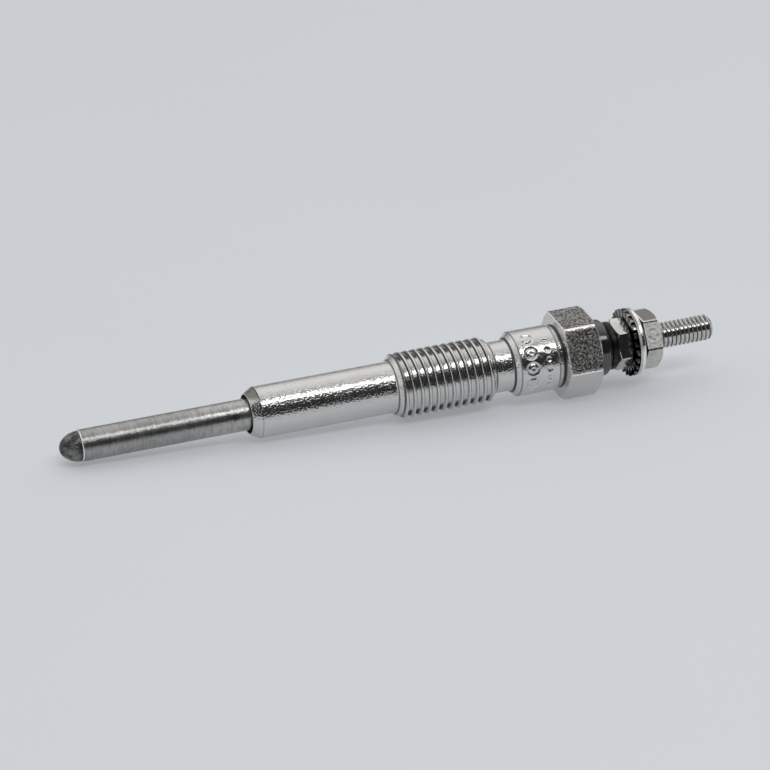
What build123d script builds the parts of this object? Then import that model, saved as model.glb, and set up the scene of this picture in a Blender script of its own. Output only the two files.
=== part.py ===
from build123d import *
import math
import os

os.makedirs("parts", exist_ok=True)

# Frame: the plug lies along X. Its heated tip points to -X and its terminal to +X.
# The origin is on the axis, at the wide edge of the sealing cone on the nose.
# One flat of the spanner hexagon faces down, -Z. All lengths are in millimetres.

# Heater tube: a closed sheath pressed into the housing
tube_diameter = 4.8
tube_wall = 0.6
tube_exposed = 29.0
tube_seated = 15.4
dome_length = 3.0
dome_taper = 0.5
tip_thickness = 2.2

# Housing, front to rear
lip_diameter = 6.2
mouth_diameter = 5.9
mouth_depth = 1.5
cone_length = 1.45
nose_diameter = 7.8
nose_length = 21.1
thread_diameter = 10.0
thread_length = 16.2
thread_lead_in = 1.3
thread_run_out = 1.1
relief_diameter = 7.8
relief_length = 2.5
collar_diameter = 10.0
collar_chamfer = 1.1
collar_length = 8.1
undercut_width = 1.1
undercut_depth = 0.25
hexagon_flats = 12.0
hexagon_height = 5.7
hexagon_front_diameter = 12.7
hexagon_edge_round = 0.35

# Current path: two coils wound of one wire size, joined end to end
wire_diameter = 0.4
wire_sides = 6
heating_pitch = 1.8
heating_turns = 4
regulating_pitch = 1.3
regulating_turns = 5
weld_gap = 0.02
coil_fit = 0.03

# Terminal rod, from the pin inside the coil to the free end of the stud. Its thread is
# rolled, so the blank has the thread's pitch diameter, and the nuts meet it there.
rod_pin_diameter = 1.5
rod_pin_length = 2.2
rod_neck_diameter = 2.2
rod_blank_diameter = 3.5
stud_diameter = 4.0
stud_exposed = 9.25
stud_chamfer = 0.6
rod_air_gap = 0.65

# Rubber seal in the mouth of the tube
seal_plug_length = 2.5
seal_head_thickness = 0.8
seal_head_gap = 0.1

# Gland at the terminal end: ring seal, insulating bush, spacer
gland_diameter = 6.6
ring_seal_squeeze = 0.03
ring_seal_sides = 8
bush_sleeve_length = 3.7
bush_fit = 0.05
bush_flange_diameter = 8.7
bush_flange_thickness = 2.5
bush_chamfer = 0.7
spacer_diameter = 7.4
spacer_thickness = 1.0
spacer_edge_round = 0.2

# Nuts and washer on the stud
nut_fit = 0.05
washer_fit = 0.1
lock_nut_flats = 7.0
lock_nut_height = 2.4
lock_nut_turn = 10.0
washer_diameter = 10.4
washer_ring_diameter = 7.8
washer_thickness = 0.45
washer_teeth = 24
tooth_root_width = 0.62
tooth_root_thickness = 0.37
tooth_root_sink = 0.3
tooth_tip_width = 0.78
tooth_twist = 22.0
flange_diameter = 10.4
flange_rim = 0.6
flange_slope = 20.0
flange_nut_flats = 8.0
flange_nut_height = 4.3
flange_nut_turn = -4.0
nut_chamfer_angle = 30.0
nut_face_inset = 0.1

# Stations along the axis, each worked out from the one before it
lip = -cone_length
tip = lip - tube_exposed
tube_floor = tip + tip_thickness
tube_end = lip + tube_seated
thread_start = nose_length
thread_end = thread_start + thread_length
relief_end = thread_end + relief_length
hexagon_front = relief_end + collar_length
hexagon_rear = hexagon_front + hexagon_height
bush_flange_rear = hexagon_rear + bush_flange_thickness
spacer_rear = bush_flange_rear + spacer_thickness
lock_nut_rear = spacer_rear + lock_nut_height
washer_rear = lock_nut_rear + washer_thickness
flange_nut_rear = washer_rear + flange_nut_height
stud_end = flange_nut_rear + stud_exposed

# Radii and lengths that follow from the sizes above
tube_radius = tube_diameter / 2
tube_bore_radius = tube_radius - tube_wall
wire_radius = wire_diameter / 2
coil_radius = rod_pin_diameter / 2 + coil_fit + wire_radius
heating_start = tube_floor + wire_radius + weld_gap
regulating_start = heating_start + heating_pitch * heating_turns
coil_end = regulating_start + regulating_pitch * regulating_turns
neck_front = coil_end + wire_radius + weld_gap
pin_front = neck_front - rod_pin_length
seal_front = tube_end - seal_plug_length
blank_front = tube_end + seal_head_thickness
stud_radius = stud_diameter / 2
blank_radius = rod_blank_diameter / 2
rod_bore_radius = blank_radius + rod_air_gap
nut_bore_radius = blank_radius + nut_fit
washer_bore_radius = stud_radius + washer_fit
gland_radius = gland_diameter / 2
ring_seal_width = gland_radius - blank_radius
ring_seal_radius = ring_seal_width / 2 - ring_seal_squeeze
gland_floor = hexagon_rear - bush_sleeve_length - ring_seal_width


def turned(*points):
    """A solid turned about the axis from a closed outline of (station, radius) points."""
    outline = Polyline(*points, close=True)
    return revolve(make_face(outline), Axis.X, 360)


def round_bar(front, rear, radius):
    """A plain cylinder on the axis, also used to bore a hole."""
    return turned((front, 0), (front, radius), (rear, radius), (rear, 0))


def coned_bar(flats, front, rear, front_radius):
    """The turned bar that a hexagon is cut from, with both ends coned off at the nut angle."""
    corner_radius = flats / math.sqrt(3)
    rear_radius = flats / 2 - nut_face_inset
    slope = math.tan(math.radians(nut_chamfer_angle))
    return turned(
        (front, 0),
        (front, front_radius),
        (front + (corner_radius - front_radius) * slope, corner_radius),
        (rear - (corner_radius - rear_radius) * slope, corner_radius),
        (rear, rear_radius),
        (rear, 0),
    )


def hexagon(flats, front, rear, turn=0.0):
    """A hexagonal nut body with a flat facing down, turned about the axis by turn degrees."""
    section = RegularPolygon(flats / 2, 6, major_radius=False)
    across = Plane(origin=(front, 0, 0), x_dir=(0, 1, 0), z_dir=(1, 0, 0))
    bar = extrude(across * section, rear - front)
    return Rot(turn, 0, 0) * (bar & coned_bar(flats, front, rear, flats / 2 - nut_face_inset))


def spanner_hexagon():
    """The housing's hexagon: its edges are rounded, and its front is coned off only lightly."""
    section = RegularPolygon(hexagon_flats / 2, 6, major_radius=False)
    rounded = fillet(section.vertices(), hexagon_edge_round)
    across = Plane(origin=(hexagon_front, 0, 0), x_dir=(0, 1, 0), z_dir=(1, 0, 0))
    bar = extrude(across * rounded, hexagon_height)
    return bar & coned_bar(hexagon_flats, hexagon_front, hexagon_rear, hexagon_front_diameter / 2)


def make_housing():
    """Steel body: nose with sealing cone, threaded length, relief, collar and spanner hexagon."""
    nose_radius = nose_diameter / 2
    thread_radius = thread_diameter / 2
    relief_radius = relief_diameter / 2
    collar_radius = collar_diameter / 2
    undercut_radius = collar_radius - undercut_depth
    undercut_start = hexagon_front - undercut_width
    body = turned(
        (lip, 0),
        (lip, lip_diameter / 2),
        (0, nose_radius),
        (thread_start, nose_radius),
        (thread_start + thread_lead_in, thread_radius),
        (thread_end - thread_run_out, thread_radius),
        (thread_end, relief_radius),
        (relief_end, relief_radius),
        (relief_end + collar_chamfer, collar_radius),
        (undercut_start, collar_radius),
        (undercut_start + undercut_depth, undercut_radius),
        (hexagon_front, undercut_radius),
        (hexagon_front, 0),
    )
    bores = (
        round_bar(lip, lip + mouth_depth, mouth_diameter / 2)
        + round_bar(lip, tube_end, tube_radius)
        + round_bar(tube_end, gland_floor, rod_bore_radius)
        + round_bar(gland_floor, hexagon_rear, gland_radius)
    )
    return body + spanner_hexagon() - bores


def make_heater_tube():
    """Sheath with a domed, welded tip. Its rear stretch is pressed into the nose."""
    # The dome is two arcs that meet without a corner: a wide one that leaves the tube
    # along its side, and a tighter one round the tip.
    nose_round = tube_radius - dome_taper
    reach = dome_length - nose_round
    side_round = (reach**2 + tube_radius**2 - nose_round**2) / (2 * dome_taper)
    shoulder = Vector(tip + dome_length, tube_radius)
    side_centre = Vector(shoulder.X, tube_radius - side_round)
    nose_centre = Vector(tip + nose_round, 0)
    meeting = side_centre + (nose_centre - side_centre).normalized() * side_round
    dome = [
        RadiusArc(shoulder, meeting, -side_round),
        RadiusArc(meeting, (tip, 0), -nose_round),
    ]
    section = Polyline(
        (tip, 0),
        (tube_floor, 0),
        (tube_floor, tube_bore_radius),
        (tube_end, tube_bore_radius),
        (tube_end, tube_radius),
        shoulder,
    )
    return revolve(make_face(Curve() + [*dome, section]), Axis.X, 360)


def make_coil(start, pitch, turns):
    """A helix of round resistance wire about the axis, its section kept to a few sides."""
    path = Helix(pitch, pitch * turns, coil_radius, center=(start, 0, 0), direction=(1, 0, 0))
    section = Plane(origin=path @ 0, z_dir=path % 0) * RegularPolygon(wire_radius, wire_sides)
    return sweep(section, path=path, is_frenet=True)


def make_regulating_coil():
    """The rear coil, turned on by the weld so that its wire meets the front coil's end."""
    weld_angle = math.degrees(weld_gap / coil_radius)
    return Rot(weld_angle, 0, 0) * make_coil(regulating_start, regulating_pitch, regulating_turns)


def make_insulating_powder():
    """Packed magnesia: a sleeve between coils and sheath, and a core inside the coils."""
    core_radius = coil_radius - wire_radius - coil_fit
    sleeve_bore = coil_radius + wire_radius + coil_fit
    neck_radius = rod_neck_diameter / 2
    core = turned(
        (tube_floor, 0),
        (tube_floor, core_radius),
        (pin_front, core_radius),
        (pin_front, 0),
    )
    sleeve = turned(
        (tube_floor, sleeve_bore),
        (tube_floor, tube_bore_radius),
        (seal_front, tube_bore_radius),
        (seal_front, neck_radius),
        (neck_front, neck_radius),
        (neck_front, sleeve_bore),
    )
    return core + sleeve


def make_terminal_rod():
    """One rod: pin in the coil, neck in the tube, blank, and the free end of the stud."""
    return turned(
        (pin_front, 0),
        (pin_front, rod_pin_diameter / 2),
        (neck_front, rod_pin_diameter / 2),
        (neck_front, rod_neck_diameter / 2),
        (blank_front, rod_neck_diameter / 2),
        (blank_front, blank_radius),
        (flange_nut_rear, blank_radius),
        (flange_nut_rear, stud_radius),
        (stud_end - stud_chamfer, stud_radius),
        (stud_end, stud_radius - stud_chamfer),
        (stud_end, 0),
    )


def make_tube_seal():
    """Rubber top hat that closes the tube behind the powder and centres the rod."""
    neck_radius = rod_neck_diameter / 2
    head_radius = rod_bore_radius - seal_head_gap
    return turned(
        (seal_front, neck_radius),
        (seal_front, tube_bore_radius),
        (tube_end, tube_bore_radius),
        (tube_end, head_radius),
        (blank_front, head_radius),
        (blank_front, neck_radius),
    )


def make_ring_seal():
    """Rubber ring between the rod and the gland wall, its round section kept to a few sides."""
    centre = (gland_floor + ring_seal_width / 2, (gland_radius + blank_radius) / 2)
    half_side = 180 / ring_seal_sides
    section = RegularPolygon(ring_seal_radius, ring_seal_sides, False, rotation=half_side)
    return revolve(Pos(*centre) * section, Axis.X, 360)


def make_insulating_bush():
    """Black moulded bush: a sleeve in the gland and the flange seen behind the hexagon."""
    bore = stud_radius + bush_fit
    sleeve_radius = gland_radius - bush_fit
    flange_radius = bush_flange_diameter / 2
    return turned(
        (hexagon_rear - bush_sleeve_length, bore),
        (hexagon_rear - bush_sleeve_length, sleeve_radius),
        (hexagon_rear, sleeve_radius),
        (hexagon_rear, flange_radius),
        (bush_flange_rear - bush_chamfer, flange_radius),
        (bush_flange_rear, flange_radius - bush_chamfer),
        (bush_flange_rear, bore),
    )


def make_spacer_washer():
    """Plain washer between the bush and the lock nut, with its edges broken."""
    outer = spacer_diameter / 2
    bore = washer_bore_radius
    return turned(
        (bush_flange_rear, bore),
        (bush_flange_rear, outer - spacer_edge_round),
        (bush_flange_rear + spacer_edge_round, outer),
        (spacer_rear - spacer_edge_round, outer),
        (spacer_rear, outer - spacer_edge_round),
        (spacer_rear, bore),
    )


def make_lock_nut():
    """Thin hexagon nut that clamps the bush into the gland."""
    body = hexagon(lock_nut_flats, spacer_rear, lock_nut_rear, lock_nut_turn)
    return body - round_bar(spacer_rear, lock_nut_rear, nut_bore_radius)


def make_toothed_washer():
    """External-tooth lock washer: each tooth is twisted about its own radius and leans forward."""
    middle = washer_rear - washer_thickness / 2
    root_radius = washer_ring_diameter / 2
    tip_radius = washer_diameter / 2
    twist = math.radians(tooth_twist)
    tip_reach = (tooth_tip_width * math.sin(twist) + washer_thickness * math.cos(twist)) / 2
    lean = tip_reach - washer_thickness / 2
    ring = turned(
        (lock_nut_rear, washer_bore_radius),
        (lock_nut_rear, root_radius),
        (washer_rear, root_radius),
        (washer_rear, washer_bore_radius),
    )
    sunk_radius = root_radius - tooth_root_sink
    root = Plane(origin=(middle, 0, sunk_radius), x_dir=(0, 1, 0), z_dir=(0, 0, 1))
    crest = Plane(origin=(middle - lean, 0, tip_radius), x_dir=(0, 1, 0), z_dir=(0, 0, 1))
    tooth = loft(
        [
            root * Rectangle(tooth_root_width, tooth_root_thickness),
            crest * Rot(0, 0, tooth_twist) * Rectangle(tooth_tip_width, washer_thickness),
        ],
        ruled=True,
    )
    spacing = 360 / washer_teeth
    return ring + [Rot(spacing * number, 0, 0) * tooth for number in range(washer_teeth)]


def make_flange_nut():
    """Hexagon nut with a wide flange, which clamps the cable eye against the washer."""
    rim_radius = flange_diameter / 2
    corner_radius = flange_nut_flats / math.sqrt(3)
    rise = (rim_radius - corner_radius) * math.tan(math.radians(flange_slope))
    rim_rear = washer_rear + flange_rim
    flange = turned(
        (washer_rear, 0),
        (washer_rear, rim_radius),
        (rim_rear, rim_radius),
        (rim_rear + rise, corner_radius),
        (rim_rear + rise, 0),
    )
    body = hexagon(flange_nut_flats, washer_rear, flange_nut_rear, flange_nut_turn)
    return flange + body - round_bar(washer_rear, flange_nut_rear, nut_bore_radius)


pieces = {
    "housing": make_housing(),
    "heater_tube": make_heater_tube(),
    "heating_coil": make_coil(heating_start, heating_pitch, heating_turns),
    "regulating_coil": make_regulating_coil(),
    "insulating_powder": make_insulating_powder(),
    "tube_seal": make_tube_seal(),
    "terminal_rod": make_terminal_rod(),
    "ring_seal": make_ring_seal(),
    "insulating_bush": make_insulating_bush(),
    "spacer_washer": make_spacer_washer(),
    "lock_nut": make_lock_nut(),
    "toothed_washer": make_toothed_washer(),
    "flange_nut": make_flange_nut(),
}

for name, piece in pieces.items():
    export_step(piece, f"parts/{name}.step")
    print(name, "volume", round(piece.volume, 1), "mm3")
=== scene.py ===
# %% [markdown]
# # A diesel glow plug, dressed for its picture
#
# The real thing is a steel body with a long thin heater tube at one end and a threaded
# electrical stud at the other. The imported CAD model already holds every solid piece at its
# true size. This lesson keeps those places and sizes, and builds for each piece that can be
# seen a finer mesh with the detail that a CAD model leaves out: thread helices, softened
# edges, stamped dimples and plated, oxidised or moulded surfaces.

import math

import bmesh
import bpy
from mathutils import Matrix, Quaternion, Vector


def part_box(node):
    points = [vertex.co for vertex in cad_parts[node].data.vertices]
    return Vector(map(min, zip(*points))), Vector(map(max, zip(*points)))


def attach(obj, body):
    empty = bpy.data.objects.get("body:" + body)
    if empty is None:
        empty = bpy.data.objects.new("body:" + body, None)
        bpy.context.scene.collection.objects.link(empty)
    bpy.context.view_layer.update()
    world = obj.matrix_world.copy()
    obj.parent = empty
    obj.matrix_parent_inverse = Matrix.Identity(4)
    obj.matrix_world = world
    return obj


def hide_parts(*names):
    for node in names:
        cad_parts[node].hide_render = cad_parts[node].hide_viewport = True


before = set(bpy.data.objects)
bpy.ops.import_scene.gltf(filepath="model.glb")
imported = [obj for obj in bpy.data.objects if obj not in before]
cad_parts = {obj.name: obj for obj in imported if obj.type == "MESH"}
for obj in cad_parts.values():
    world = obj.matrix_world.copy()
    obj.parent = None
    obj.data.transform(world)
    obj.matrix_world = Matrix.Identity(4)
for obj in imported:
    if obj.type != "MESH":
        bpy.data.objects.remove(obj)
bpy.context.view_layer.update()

# %% [markdown]
# The plug lies along X with its heated tip towards -X, so almost every place is a station
# along the axis, and a radius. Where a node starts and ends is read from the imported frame,
# because then a change in the CAD model moves the scene's pieces with it. A shoulder in the
# middle of a node can't be read from a box, so it is written down with its piece, in the CAD
# model's size or within a fraction of a millimetre of it. One factor turns millimetres into
# Blender's metres, because millimetres are how a machinist reads a plug.

# %% Stations and radii from the frame
MM = 0.001


def ends(node):
    """The stations at which a node starts and ends along the axis."""
    low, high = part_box(node)
    return low.x, high.x


def widest(node):
    """A node's largest radius, for one that is turned round the axis."""
    low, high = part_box(node)
    return (high.z - low.z) / 2


tip, tube_end = ends("heater_tube")
lip, hexagon_rear = ends("housing")
bush_front, bush_rear = ends("insulating_bush")
spacer_front, spacer_rear = ends("spacer_washer")
lock_front, lock_rear = ends("lock_nut")
flange_front, flange_rear = ends("flange_nut")
rod_front, stud_end = ends("terminal_rod")
tube_radius = widest("heater_tube")
stud_radius = widest("terminal_rod")
print("overall length", round((stud_end - tip) / MM, 2), "mm")

# %% [markdown]
# A mesh needs a little more than its faces. Smooth shading hides the facets of a round wall,
# but it has to stop at a real edge, and a Weighted Normal modifier keeps a large flat face
# flat beside a small rounding. A mesh is closed where exactly two faces meet at each edge, so
# the edges are counted, and the number of open ones is printed with each piece.

# %% Finish a mesh and count its open edges
SHARP_DEGREES = 38


def count_open_edges(mesh):
    """How many edges don't join exactly two faces."""
    faces_at = {}
    for face in mesh.polygons:
        for key in face.edge_keys:
            faces_at[key] = faces_at.get(key, 0) + 1
    return sum(1 for faces in faces_at.values() if faces != 2)


def finished(name, mesh_maker):
    """Turns the bmesh into an object with smooth shading, except over its sharp edges."""
    mesh = bpy.data.meshes.new(name)
    mesh_maker.to_mesh(mesh)
    mesh_maker.free()
    mesh.shade_smooth()
    mesh.set_sharp_from_angle(angle=math.radians(SHARP_DEGREES))
    piece = bpy.data.objects.new(name, mesh)
    bpy.context.scene.collection.objects.link(piece)
    flat_faces = piece.modifiers.new("weighted normals", "WEIGHTED_NORMAL")
    flat_faces.keep_sharp = True
    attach(piece, "root")
    print(name, "faces", len(mesh.polygons), "open edges", count_open_edges(mesh))
    return piece


# %% [markdown]
# A turned piece is one outline swept round the axis. Blender's Spin or a Screw modifier
# would do that, but a hexagon or a thread isn't quite turned: its outline changes with the
# angle. So the sweep here asks a function for the outline at each angle, and joins each
# outline to the next one. The first and the last outline both lie at the start angle, and
# merging equal points closes the ring. That also closes a thread, which comes round one
# pitch further along.

# %% Sweep an outline round the axis
MERGE = 1e-7


def even_angles(count):
    """Angles round the axis from 0 to a full turn, both ends included."""
    return [2 * math.pi * step / count for step in range(count + 1)]


def joined(name, columns, ring=True):
    """A closed mesh from (angle, outline) columns, each joined to the next one.

    An outline is a list of (station, radius) points. With ring it is a closed loop round the
    piece's wall, and otherwise it starts and ends on the axis.
    """
    mesh_maker = bmesh.new()
    lines = []
    for angle, outline in columns:
        side = Vector((0, math.cos(angle), math.sin(angle)))
        places = [Vector((station, 0, 0)) + side * radius for station, radius in outline]
        lines.append([mesh_maker.verts.new(place) for place in places])
    rows = len(lines[0])
    spans = [(row, (row + 1) % rows) for row in range(rows if ring else rows - 1)]
    for left, right in zip(lines, lines[1:]):
        for low, high in spans:
            mesh_maker.faces.new((left[low], left[high], right[high], right[low]))
    bmesh.ops.remove_doubles(mesh_maker, verts=mesh_maker.verts, dist=MERGE)
    bmesh.ops.dissolve_degenerate(mesh_maker, edges=mesh_maker.edges, dist=MERGE)
    bmesh.ops.recalc_face_normals(mesh_maker, faces=mesh_maker.faces)
    return finished(name, mesh_maker)


def swept(name, angles, outline, ring=True):
    """A closed mesh from outline(angle), a function that gives the outline at each angle."""
    return joined(name, [(angle, outline(angle)) for angle in angles], ring)


# %% [markdown]
# No real edge is perfectly sharp. A thin line of light along an edge is what tells the eye
# that a thing is solid metal, and a knife-sharp edge can't catch any. A Bevel modifier is
# the usual way, but it struggles where a thread runs into a chamfer. Here the outline is
# softened before it is swept: each corner carries its own rounding, and is swapped for a few
# points on a curve.

# %% Soften the corners of an outline
CORNER_STEPS = 3
LONGEST_SHARE = 0.45


def softened(corners):
    """Points for an outline of (station, radius, rounding) corners, each rounded off."""
    points = []
    count = len(corners)
    for index, (station, radius, rounding) in enumerate(corners):
        corner = Vector((station, radius))
        if rounding == 0:
            points.append(corner)
            continue
        before = Vector(corners[index - 1][:2]) - corner
        after = Vector(corners[(index + 1) % count][:2]) - corner
        reach = min(rounding, before.length * LONGEST_SHARE, after.length * LONGEST_SHARE)
        start = corner + before.normalized() * reach
        end = corner + after.normalized() * reach
        for step in range(CORNER_STEPS + 1):
            part = step / CORNER_STEPS
            points.append(start.lerp(corner, part).lerp(corner.lerp(end, part), part))
    return points


soft_square = softened([(0, 0, 0.1), (1, 0, 0.1), (1, 1, 0.1), (0, 1, 0.1)])
print("a square with soft corners takes", len(soft_square), "points")

# %% [markdown]
# A screw thread is a ridge on a helix. It could be an image on a smooth rod, but its notches
# show against the floor all along the edge, so it has to be real. Each outline crosses the
# ridges at stations that creep along with the angle, so the rows of the mesh follow the
# helix and every crest stays crisp. The valleys are broad and the crests thin, because that
# is how the light falls on this thread: a bright block in each valley and a fine line on
# each crest. The ridge starts and stops where a cone cuts into it, as a lathe tool leaves it.

# %% Cut a helical thread
def thread_rows(angle, start, end, pitch, form, limit):
    """(station, radius) points over a right-hand thread, as it is at one angle.

    form lists (share of a pitch, radius) points of one ridge, and limit(station) gives the
    radius of the cones that it runs out into.
    """
    turns = math.ceil((end - start) / pitch) + 1
    points = []
    for turn in range(turns + 1):
        for share, radius in form:
            station = start + (turn + share - 1 + angle / (2 * math.pi)) * pitch
            station = min(max(station, start), end)
            points.append(Vector((station, min(radius, limit(station)))))
    return points


def ridge(crest_radius, root_radius, crest_share, root_share, rounding):
    """One pitch of a thread: root, flank, rounded crest and flank."""
    flank = (1 - crest_share - root_share) / 2
    drop = (crest_radius - root_radius) * rounding
    valley_edge = root_radius + drop * 0.3
    crest_edge = crest_radius - drop * 0.25
    rise = root_share / 2
    crest = rise + flank
    soft = flank * rounding
    return [
        (0.0, root_radius),
        (rise, valley_edge),
        (rise + soft, root_radius + drop),
        (crest - soft, crest_radius - drop),
        (crest, crest_edge),
        (crest + soft, crest_radius),
        (crest + crest_share - soft, crest_radius),
        (crest + crest_share, crest_edge),
        (crest + crest_share + soft, crest_radius - drop),
        (1 - rise - soft, root_radius + drop),
        (1 - rise, valley_edge),
    ]


# %% [markdown]
# A hexagon's radius also depends on the angle. The function below gives it, with the six
# edges rounded by a small arc, and the list of angles has more of them near those edges,
# where the surface turns quickly.

# %% The radius of a hexagon at each angle
SIXTH = math.pi / 3


def from_edge(angle, turn):
    """How far an angle is from the nearest edge of a hexagon that lies on a flat."""
    share = (angle - turn) / SIXTH
    return (share - round(share)) * SIXTH


def hexagon_radius(angle, flats, rounding, turn=0.0):
    """Distance from the axis to a hexagon's side, for its width across flats."""
    away = abs(from_edge(angle, turn))
    centre = (flats / 2 - rounding) / math.cos(SIXTH / 2)
    arc_end = math.atan2(rounding / 2, centre + rounding * math.cos(SIXTH / 2))
    if away > arc_end:
        return flats / 2 / math.cos(SIXTH / 2 - away)
    side = centre * math.sin(away)
    return centre * math.cos(away) + math.sqrt(rounding**2 - side**2)


def hexagon_angles(per_side, edge_share, turn=0.0):
    """Angles round a hexagon, crowded near its edges, both ends of the turn included."""
    steps = [-edge_share, -edge_share / 2, 0.0, edge_share / 2, edge_share]
    plain = per_side - len(steps)
    for step in range(1, plain + 1):
        steps.append(edge_share + (1 - 2 * edge_share) * step / (plain + 1))
    turns = [turn + (side + step) * SIXTH for side in range(6) for step in steps]
    angles = sorted(angle % (2 * math.pi) for angle in turns)
    return angles + [angles[0] + 2 * math.pi]


print("12 mm across flats is", round(2 * hexagon_radius(0.0, 12, 0), 2), "mm across corners")

# %% [markdown]
# The collar carries stamped marks in two rows that run round it: targets in one and dimples
# in the other. They could be painted as dark lines, but a stamp is real relief and catches
# the light, so they are pressed into the mesh: each point near a mark sinks by the depth of a
# soft-edged line.

# %% Stamped marks in the collar
camera_side = math.pi
target_ring = 0.4
dimple_core = 0.16


def target_mark(along, around, size):
    """Distance from a ring with a dot in its middle."""
    away = math.hypot(along, around)
    return min(abs(away - size * target_ring), away)


def dimple_mark(along, around, size):
    """Distance from a round dimple."""
    return max(math.hypot(along, around) - size * dimple_core, 0.0)


def soft_line(away, stroke):
    """The height of a soft-edged line, from 1 in its middle to 0 at that stroke from it."""
    share = min(max(1.0 - away / stroke, 0.0), 1.0)
    return share * share * (3 - 2 * share)


def mark_depth(station, angle, radius, rows, stroke):
    """How far the stamp presses in at a point, as a share from 0 to 1."""
    deepest = 0.0
    for kind, middle, size, spacing, reach in rows:
        if abs(station - middle) > size:
            continue
        first = camera_side - reach
        number = round((angle - first) / spacing)
        if not 0 <= number <= round(2 * reach / spacing):
            continue
        around = (angle - first - number * spacing) * radius
        away = kind(station - middle, around, size)
        deepest = max(deepest, soft_line(away, stroke))
    return deepest


print("a line's height a quarter of the way out", round(soft_line(0.25, 1.0), 2))

# %% [markdown]
# The housing is one bar of steel, turned, rolled and plated: a nose with a sealing cone, the
# engine thread, a relief, the stamped collar, and the spanner hexagon. These are its
# shoulders and the sizes of the stamp. A row of marks has its kind, the station of its
# middle, the size of a mark, the angle between two marks, and how far it reaches each way.

# %% Sizes of the housing
lip_radius = 3.1 * MM
mouth_radius = 2.95 * MM
mouth_depth = 1.5 * MM
nose_radius = 3.9 * MM
thread_start = 21.1 * MM
thread_end = 37.3 * MM
thread_radius = 5.0 * MM
thread_root = 4.58 * MM
thread_pitch = 1.25 * MM
lead_in = 1.1 * MM
run_out = 1.1 * MM
relief_end = 39.8 * MM
collar_radius = 5.0 * MM
collar_chamfer = 1.1 * MM
undercut_depth = 0.25 * MM
undercut_width = 1.1 * MM
hexagon_front = 47.9 * MM
hexagon_flats = 12.0 * MM
hexagon_rounding = 0.35 * MM
cone_angle = math.radians(30)
front_cone_radius = 6.35 * MM
rear_inset = 0.1 * MM
rear_cone_radius = hexagon_flats / 2 - rear_inset
gland_radius = 3.3 * MM
gland_depth = 4.9 * MM
gland_floor = hexagon_rear - gland_depth
edge = 0.12 * MM

collar_start = relief_end + collar_chamfer
undercut_start = hexagon_front - undercut_width
undercut_radius = collar_radius - undercut_depth
mark_rows = [
    (target_mark, 42.6 * MM, 2.1 * MM, math.radians(28), math.radians(70)),
    (dimple_mark, 45.25 * MM, 1.5 * MM, math.radians(17), math.radians(60)),
]
mark_stroke = 0.28 * MM
stamp_depth = 0.17 * MM
print("engine thread", round((thread_end - thread_start) / thread_pitch, 1), "pitches long")

# %% [markdown]
# The engine thread lies between two cones, the lead-in at the nose and the run-out before the
# relief. It is cut off at whichever cone is lower at a station.

# %% The engine thread and its cones
engine_ridge = ridge(thread_radius, thread_root, crest_share=0.14, root_share=0.46, rounding=0.3)
print("one ridge takes", len(engine_ridge), "points")


def engine_thread_limit(station):
    """The radius of the cones at both ends of the engine thread."""
    front = nose_radius + (station - thread_start) / lead_in * (thread_radius - nose_radius)
    rear = nose_radius + (thread_end - station) / run_out * (thread_radius - nose_radius)
    return min(front, rear, thread_radius)


# %% [markdown]
# All of the housing goes into one sweep, so that it is one closed skin like the real one, and
# also has the wall inside the nose's mouth, where the tube goes in with a dark gap round it.
# The collar gets many rows, because a stamp can only press in points that are there.

# %% Build the housing
collar_rows = 56
housing_per_side = 50
housing_edge_share = math.radians(1.47) / SIXTH


def collar_points(angle, first):
    """The collar's stamped wall, from a station to the undercut before the hexagon."""
    points = []
    for row in range(1, collar_rows):
        station = first + (undercut_start - edge - first) * row / collar_rows
        press = stamp_depth * mark_depth(station, angle, collar_radius, mark_rows, mark_stroke)
        points.append(Vector((station, collar_radius - press)))
    return points


def housing_outline(angle):
    """The housing's wall at one angle, from the mouth round the outside and back inside."""
    side = hexagon_radius(angle, hexagon_flats, hexagon_rounding)
    front_corner = min(side, front_cone_radius)
    slope = math.tan(cone_angle)
    points = softened(
        [
            (lip + mouth_depth, mouth_radius, 0),
            (lip, mouth_radius, edge),
            (lip, lip_radius, edge),
            (0.0, nose_radius, edge),
            (thread_start, nose_radius, 0),
        ]
    )[:-1]
    points += thread_rows(
        angle, thread_start, thread_end, thread_pitch, engine_ridge, engine_thread_limit
    )
    points += softened(
        [
            (thread_end, nose_radius, 0),
            (relief_end, nose_radius, edge),
            (collar_start, collar_radius, edge),
            (undercut_start, collar_radius, 0),
        ]
    )[1:-1]
    points += collar_points(angle, points[-1].x)
    points += softened(
        [
            (undercut_start - edge, collar_radius, 0),
            (undercut_start, collar_radius, edge),
            (undercut_start + undercut_depth, undercut_radius, edge),
            (hexagon_front, undercut_radius, edge),
            (hexagon_front, front_corner, 2 * edge),
            (hexagon_front + (side - front_corner) * slope, side, edge),
            (hexagon_rear - (side - rear_cone_radius) * slope, side, edge),
            (hexagon_rear, rear_cone_radius, 2 * edge),
            (hexagon_rear, gland_radius, edge),
            (gland_floor, gland_radius, 0),
            (gland_floor, tube_radius, 0),
            (lip + mouth_depth, tube_radius, 0),
        ]
    )
    return points


housing_angles = hexagon_angles(housing_per_side, housing_edge_share)
housing = swept("plug_housing", housing_angles, housing_outline)
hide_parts("housing")

# %% [markdown]
# The heater tube's tip is a welded dome. A half ball would be too blunt, so the dome is drawn
# with two arcs that meet without a bend: a wide one along its side and a tight one round its
# tip.

# %% Draw the dome
dome_length = 3.0 * MM
dome_step = 0.12 * MM
dome_radius = tube_radius - dome_step
dome_taper = 0.5 * MM
dome_steps = 18


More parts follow.
